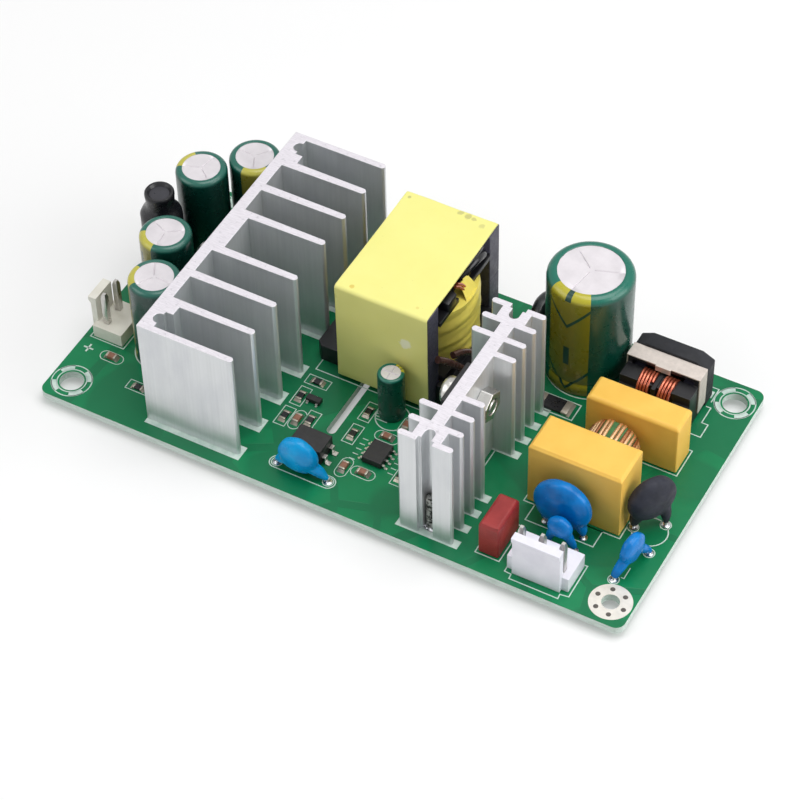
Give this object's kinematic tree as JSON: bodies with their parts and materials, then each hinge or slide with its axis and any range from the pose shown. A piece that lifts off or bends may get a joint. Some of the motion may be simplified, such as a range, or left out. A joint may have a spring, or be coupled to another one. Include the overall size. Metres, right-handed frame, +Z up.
{
  "type": "power supply module",
  "caption": "Open-frame power supply board with two finned heatsinks, a taped transformer, cans, line filter parts and plug-in headers.",
  "frame": {"origin": "centre of the board's outline, at the height of the trimmed lead ends that it stands on", "axes": "+X along the board from the output end to the mains input end, +Y from the front edge with the input header to the back edge, +Z up from the board"},
  "size_m": [0.118, 0.061, 0.028],
  "materials": {
    "board_green": "solder mask, semi-gloss",
    "extruded_aluminium": "mill finish",
    "black_resin": "moulded, matte",
    "plated_steel": "zinc plated",
    "tinned_wire": "tinned",
    "ferrite": "sintered, matte",
    "yellow_tape": "polyester tape",
    "black_plastic": "moulded",
    "green_sleeve": "shrink sleeve",
    "black_sleeve": "shrink sleeve",
    "film_yellow": "moulded box",
    "fuse_red": "moulded box",
    "ring_green": "coated ferrite",
    "copper_wire": "enamelled",
    "spring_steel": "bare",
    "disc_blue": "dipped coating",
    "disc_black": "dipped coating",
    "header_white": "moulded nylon",
    "chip_black": "moulded",
    "resistor_body": "glazed, with plated ends",
    "capacitor_body": "ceramic, with plated ends"
  },
  "bodies": {
    "root": {"circuit_board": "board_green", "output_heatsink": "extruded_aluminium", "primary_heatsink": "extruded_aluminium", "heatsink_pins": "tinned_wire", "output_rectifier": "black_resin", "rectifier_screw": "plated_steel", "switching_transistor": "black_resin", "transistor_screw": "plated_steel", "transistor_nut": "plated_steel", "bridge_rectifier": "black_resin", "transformer_core_lower": "ferrite", "transformer_core_upper": "ferrite", "transformer_tape": "yellow_tape", "transformer_bobbin": "black_plastic", "transformer_winding": "yellow_tape", "transformer_pins": "tinned_wire", "output_capacitor_1": "green_sleeve", "output_capacitor_2": "green_sleeve", "output_capacitor_3": "green_sleeve", "output_capacitor_4": "green_sleeve", "output_choke": "black_sleeve", "bulk_capacitor": "green_sleeve", "auxiliary_capacitor": "green_sleeve", "front_line_capacitor": "film_yellow", "rear_line_capacitor": "film_yellow", "fuse": "fuse_red", "toroid_core": "ring_green", "toroid_winding": "copper_wire", "filter_choke_core": "ferrite", "filter_choke_bobbin": "black_plastic", "filter_choke_coil_left": "copper_wire", "filter_choke_coil_right": "copper_wire", "filter_choke_clip": "spring_steel", "filter_choke_cover": "black_plastic", "filter_choke_pins": "tinned_wire", "varistor": "disc_blue", "line_disc_capacitor": "disc_blue", "side_disc_capacitor": "disc_blue", "bridge_disc_capacitor": "disc_blue", "inrush_thermistor": "disc_black", "rear_disc_capacitor": "disc_black", "input_header_housing": "header_white", "input_header_pins": "tinned_wire", "output_header_housing": "header_white", "output_header_pins": "tinned_wire", "controller_chip": "chip_black", "controller_leads": "tinned_wire", "optocoupler": "chip_black", "optocoupler_leads": "tinned_wire", "reference_chip": "chip_black", "reference_leads": "tinned_wire", "chip_resistors": "resistor_body", "chip_capacitors": "capacitor_body", "current_sense_resistor": "resistor_body"}
  },
  "joints": []
}
